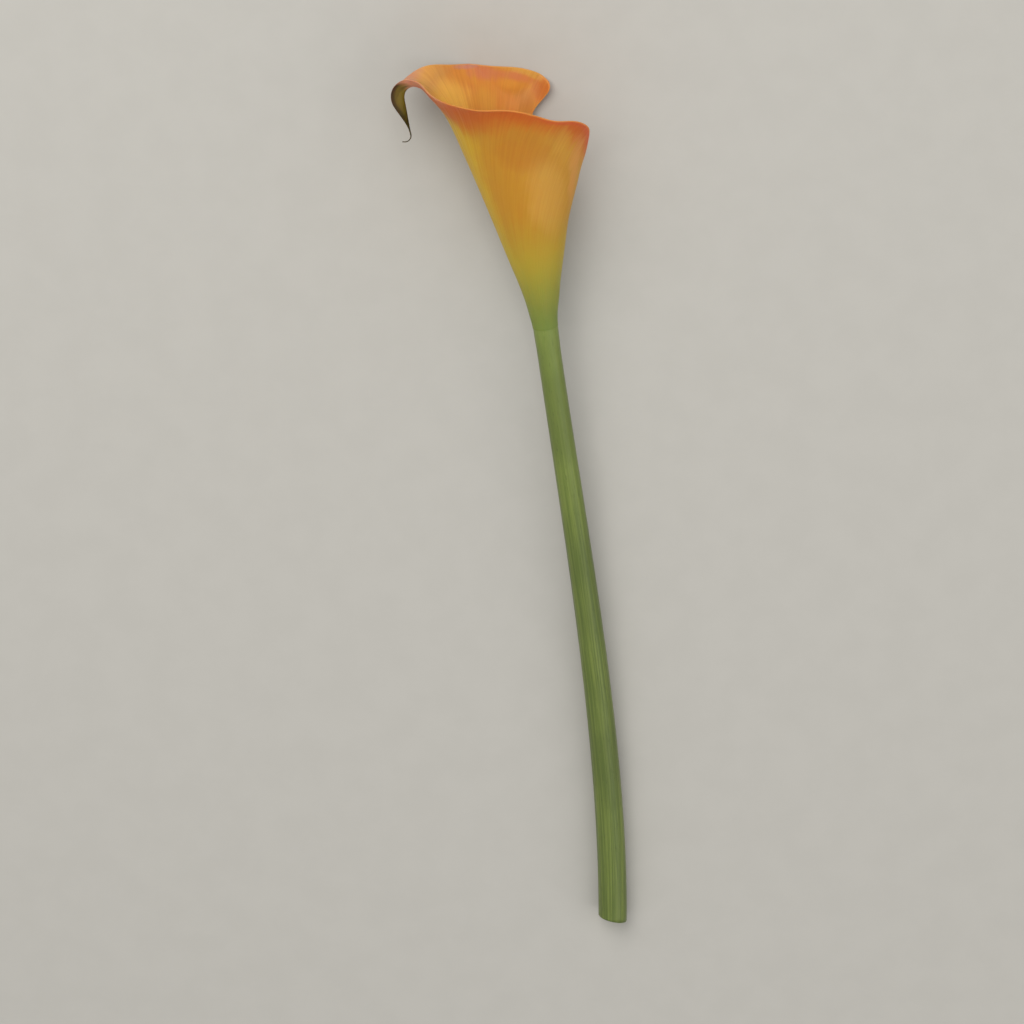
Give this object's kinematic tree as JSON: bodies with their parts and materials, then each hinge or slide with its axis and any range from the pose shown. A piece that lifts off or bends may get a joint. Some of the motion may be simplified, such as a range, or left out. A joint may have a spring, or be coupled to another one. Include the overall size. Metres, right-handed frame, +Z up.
{
  "type": "arum lily flower",
  "caption": "Cut orange arum lily: a funnel-shaped spathe with a curled green tail round a slim spadix, on a long smooth stem, lying down.",
  "frame": {"origin": "on the surface that the flower lies on, under the middle of its box", "axes": "+Z up from that surface, +Y along the flower from the cut end of the stem to the mouth, +X away from the tail"},
  "size_m": [0.1042, 0.3978, 0.0655],
  "materials": {
    "spathe": "satin",
    "spadix": "matte",
    "stem": "satin"
  },
  "bodies": {
    "root": {"spathe": "spathe", "spadix": "spadix", "stem": "stem"}
  },
  "joints": []
}
